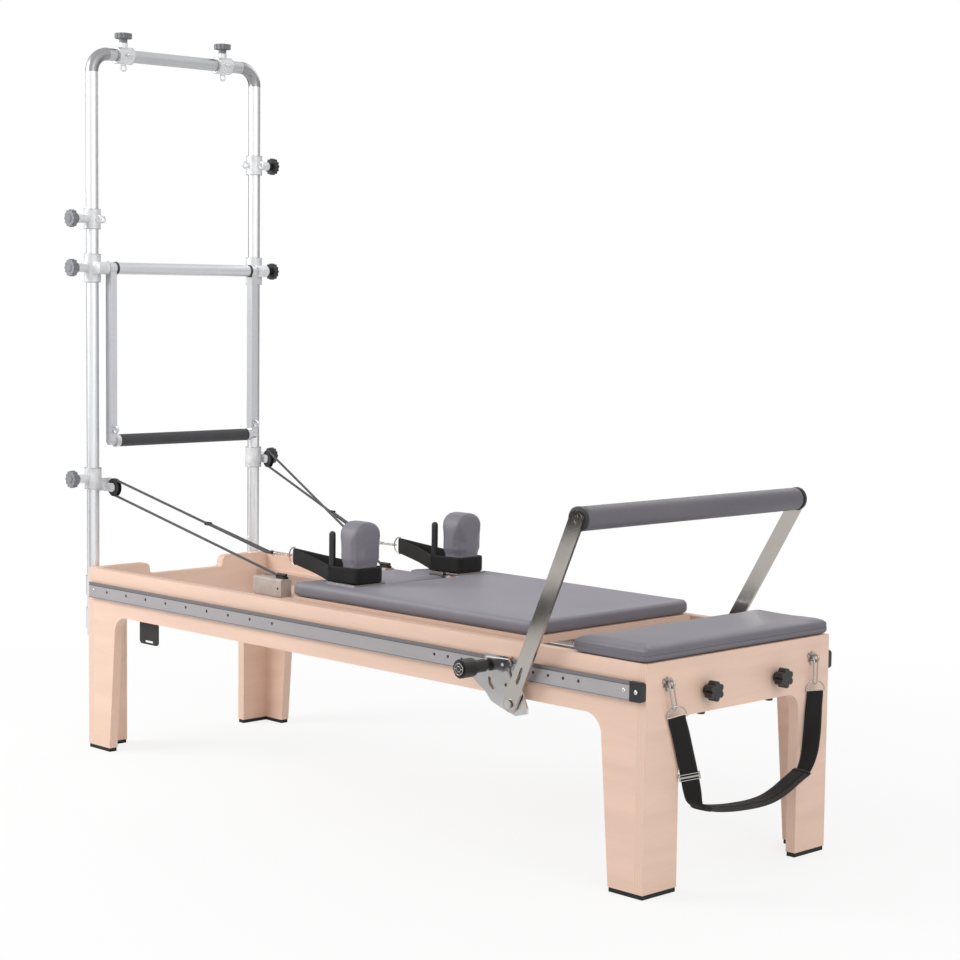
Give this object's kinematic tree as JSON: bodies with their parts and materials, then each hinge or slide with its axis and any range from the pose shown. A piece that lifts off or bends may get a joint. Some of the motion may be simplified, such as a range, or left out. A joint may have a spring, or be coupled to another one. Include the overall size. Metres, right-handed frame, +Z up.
{
  "type": "pilates tower unit",
  "caption": "Wooden pilates reformer with a sliding padded carriage, an adjustable footbar, a foot platform and a tubular tower with a push bar and rope pulleys.",
  "frame": {"origin": "on the floor under the middle of the whole outline", "axes": "+X towards the foot end with the footbar and platform, +Y to the right side, +Z up"},
  "size_m": [2.52, 0.988, 2.314],
  "materials": {
    "wood": "clear matt lacquer on pale plywood",
    "rubber": "matt",
    "rail": "satin anodised",
    "black_plastic": "moulded",
    "black_steel": "powder coat",
    "steel": "brushed",
    "chrome": "polished",
    "grey_metal": "satin",
    "grey_plastic": "moulded",
    "webbing": "woven",
    "strap_foam": "padded",
    "vinyl": "soft matt upholstery vinyl",
    "dark_grip": "foam",
    "rope": "braided cord"
  },
  "bodies": {
    "frame": {"side_panel_left": "wood", "side_panel_right": "wood", "foot_end_panel": "wood", "head_end_panel": "wood", "leg_feet": "rubber", "footbar_rails": "rail", "rail_end_caps": "black_plastic", "carriage_tracks": "rail", "spring_bar": "black_steel", "platform_sockets": "black_plastic", "eye_plates": "steel", "slotted_plate": "black_steel", "tower_brackets": "steel", "tower_tubes": "steel", "tower_elbows": "grey_metal"},
    "foot_strap": {"strap_hooks": "steel", "strap_webbing": "webbing", "strap_pad": "strap_foam"},
    "platform": {"platform_board": "wood", "platform_posts": "black_plastic", "platform_pad": "vinyl"},
    "platform_knob_near": {"platform_knob_left": "black_plastic"},
    "platform_knob_far": {"platform_knob_right": "black_plastic"},
    "carriage": {"carriage_frame": "wood", "carriage_pad": "vinyl", "rope_blocks": "rail", "shoulder_brackets": "steel", "shoulder_rests": "vinyl", "carriage_springs": "steel", "hand_loops": "webbing", "loop_clips": "steel", "ropes": "rope"},
    "headrest": {"headrest_board": "wood", "headrest_pad": "vinyl"},
    "head_wheels": {"wheels_head": "black_plastic"},
    "foot_wheels": {"wheels_foot": "black_plastic"},
    "footbar_slides": {"footbar_brackets": "steel"},
    "footbar": {"footbar_arms": "chrome", "footbar_grip": "vinyl"},
    "lock_pin_near": {"plunger_left": "black_plastic"},
    "lock_pin_far": {"plunger_right": "black_plastic"},
    "top_clamp_near": {"top_clamp_left": "grey_metal"},
    "top_knob_near": {"top_knob_left": "grey_plastic"},
    "top_clamp_far": {"top_clamp_right": "grey_metal"},
    "top_knob_far": {"top_knob_right": "grey_plastic"},
    "ring_clamp_near": {"ring_clamp_left": "grey_metal"},
    "ring_knob_near": {"ring_knob_left": "grey_plastic"},
    "ring_clamp_far": {"ring_clamp_right": "grey_metal"},
    "ring_knob_far": {"ring_knob_right": "grey_plastic"},
    "bar_slide": {"bar_clamps": "grey_metal"},
    "bar_knob_near": {"bar_knob_left": "grey_plastic"},
    "bar_knob_far": {"bar_knob_right": "grey_plastic"},
    "push_bar": {"push_bar": "steel", "push_bar_grip": "dark_grip"},
    "pulley_clamp_near": {"riser_clamp_left": "grey_metal"},
    "riser_knob_near": {"riser_knob_left": "grey_plastic"},
    "pulley_near": {"pulley_left": "black_plastic"},
    "pulley_clamp_far": {"riser_clamp_right": "grey_metal"},
    "riser_knob_far": {"riser_knob_right": "grey_plastic"},
    "pulley_far": {"pulley_right": "black_plastic"}
  },
  "joints": [
    {"name": "carriage_slide", "type": "slide", "parent": "frame", "child": "carriage", "axis": [-1, 0, 0], "range_m": [0, 0.7], "deforming": ["carriage_springs", "ropes"]},
    {"name": "headrest_tilt", "type": "hinge", "parent": "carriage", "child": "headrest", "pos_m": [-0.037, 0, 0.632], "axis": [0, 1, 0], "range_deg": [0, 45]},
    {"name": "head_wheels_spin", "type": "hinge", "parent": "carriage", "child": "head_wheels", "pos_m": [-0.19, 0, 0.5523], "axis": [0, 1, 0], "continuous": true},
    {"name": "foot_wheels_spin", "type": "hinge", "parent": "carriage", "child": "foot_wheels", "pos_m": [0.7, 0, 0.5523], "axis": [0, 1, 0], "continuous": true},
    {"name": "footbar_slide", "type": "slide", "parent": "frame", "child": "footbar_slides", "axis": [1, 0, 0], "range_m": [-0.212, 0.318]},
    {"name": "footbar_tilt", "type": "hinge", "parent": "footbar_slides", "child": "footbar", "pos_m": [0.76, 0, 0.432], "axis": [0, 1, 0], "range_deg": [-28, 25]},
    {"name": "lock_pin_near_pull", "type": "slide", "parent": "footbar_slides", "child": "lock_pin_near", "axis": [0, -1, 0], "range_m": [0, 0.01]},
    {"name": "lock_pin_far_pull", "type": "slide", "parent": "footbar_slides", "child": "lock_pin_far", "axis": [0, 1, 0], "range_m": [0, 0.01]},
    {"name": "platform_lift", "type": "slide", "parent": "frame", "child": "platform", "axis": [0, 0, 1], "range_m": [0, 0.07]},
    {"name": "platform_knob_near_turn", "type": "hinge", "parent": "frame", "child": "platform_knob_near", "pos_m": [1.2, -0.142, 0.501], "axis": [1, 0, 0], "continuous": true},
    {"name": "platform_knob_far_turn", "type": "hinge", "parent": "frame", "child": "platform_knob_far", "pos_m": [1.2, 0.142, 0.501], "axis": [1, 0, 0], "continuous": true},
    {"name": "foot_strap_swing", "type": "hinge", "parent": "frame", "child": "foot_strap", "pos_m": [1.216, 0, 0.5313], "axis": [0, -1, 0], "range_deg": [0, 75]},
    {"name": "top_clamp_near_slide", "type": "slide", "parent": "frame", "child": "top_clamp_near", "axis": [0, 1, 0], "range_m": [-0.03, 0.16]},
    {"name": "top_knob_near_turn", "type": "hinge", "parent": "top_clamp_near", "child": "top_knob_near", "pos_m": [-1.232, -0.208, 2.3], "axis": [0, 0, 1], "continuous": true},
    {"name": "top_clamp_far_slide", "type": "slide", "parent": "frame", "child": "top_clamp_far", "axis": [0, 1, 0], "range_m": [-0.16, 0.045]},
    {"name": "top_knob_far_turn", "type": "hinge", "parent": "top_clamp_far", "child": "top_knob_far", "pos_m": [-1.232, 0.193, 2.3], "axis": [0, 0, 1], "continuous": true},
    {"name": "ring_clamp_near_slide", "type": "slide", "parent": "frame", "child": "ring_clamp_near", "axis": [0, 0, 1], "range_m": [-0.03, 0.4]},
    {"name": "ring_knob_near_turn", "type": "hinge", "parent": "ring_clamp_near", "child": "ring_knob_near", "pos_m": [-1.232, -0.4, 1.712], "axis": [0, 1, 0], "continuous": true},
    {"name": "ring_clamp_far_slide", "type": "slide", "parent": "frame", "child": "ring_clamp_far", "axis": [0, 0, 1], "range_m": [-0.22, 0.2]},
    {"name": "ring_knob_far_turn", "type": "hinge", "parent": "ring_clamp_far", "child": "ring_knob_far", "pos_m": [-1.232, 0.4, 1.915], "axis": [0, 1, 0], "continuous": true},
    {"name": "bar_lift", "type": "slide", "parent": "frame", "child": "bar_slide", "axis": [0, 0, 1], "range_m": [-0.04, 0.03]},
    {"name": "bar_knob_near_turn", "type": "hinge", "parent": "bar_slide", "child": "bar_knob_near", "pos_m": [-1.232, -0.4, 1.555], "axis": [0, 1, 0], "continuous": true},
    {"name": "bar_knob_far_turn", "type": "hinge", "parent": "bar_slide", "child": "bar_knob_far", "pos_m": [-1.232, 0.4, 1.555], "axis": [0, 1, 0], "continuous": true},
    {"name": "push_swing", "type": "hinge", "parent": "bar_slide", "child": "push_bar", "pos_m": [-1.187, 0, 1.555], "axis": [0, -1, 0], "range_deg": [-80, 120]},
    {"name": "pulley_clamp_near_slide", "type": "slide", "parent": "frame", "child": "pulley_clamp_near", "axis": [0, 0, 1], "range_m": [-0.19, 0.05], "deforming": ["ropes"]},
    {"name": "riser_knob_near_turn", "type": "hinge", "parent": "pulley_clamp_near", "child": "riser_knob_near", "pos_m": [-1.232, -0.4, 0.875], "axis": [0, 1, 0], "continuous": true},
    {"name": "pulley_near_spin", "type": "hinge", "parent": "pulley_clamp_near", "child": "pulley_near", "pos_m": [-1.19, -0.275, 0.845], "axis": [0, 1, 0], "continuous": true},
    {"name": "pulley_clamp_far_slide", "type": "slide", "parent": "frame", "child": "pulley_clamp_far", "axis": [0, 0, 1], "range_m": [-0.22, 0.02], "deforming": ["ropes"]},
    {"name": "riser_knob_far_turn", "type": "hinge", "parent": "pulley_clamp_far", "child": "riser_knob_far", "pos_m": [-1.232, 0.4, 0.916], "axis": [0, 1, 0], "continuous": true},
    {"name": "pulley_far_spin", "type": "hinge", "parent": "pulley_clamp_far", "child": "pulley_far", "pos_m": [-1.184, 0.358, 0.91], "axis": [0.2334, 0.9724, 0], "continuous": true}
  ],
  "couplings": [
    {"joint": "head_wheels_spin", "follows": "carriage_slide", "rad_per_m": -45.455},
    {"joint": "foot_wheels_spin", "follows": "carriage_slide", "rad_per_m": -45.455}
  ]
}
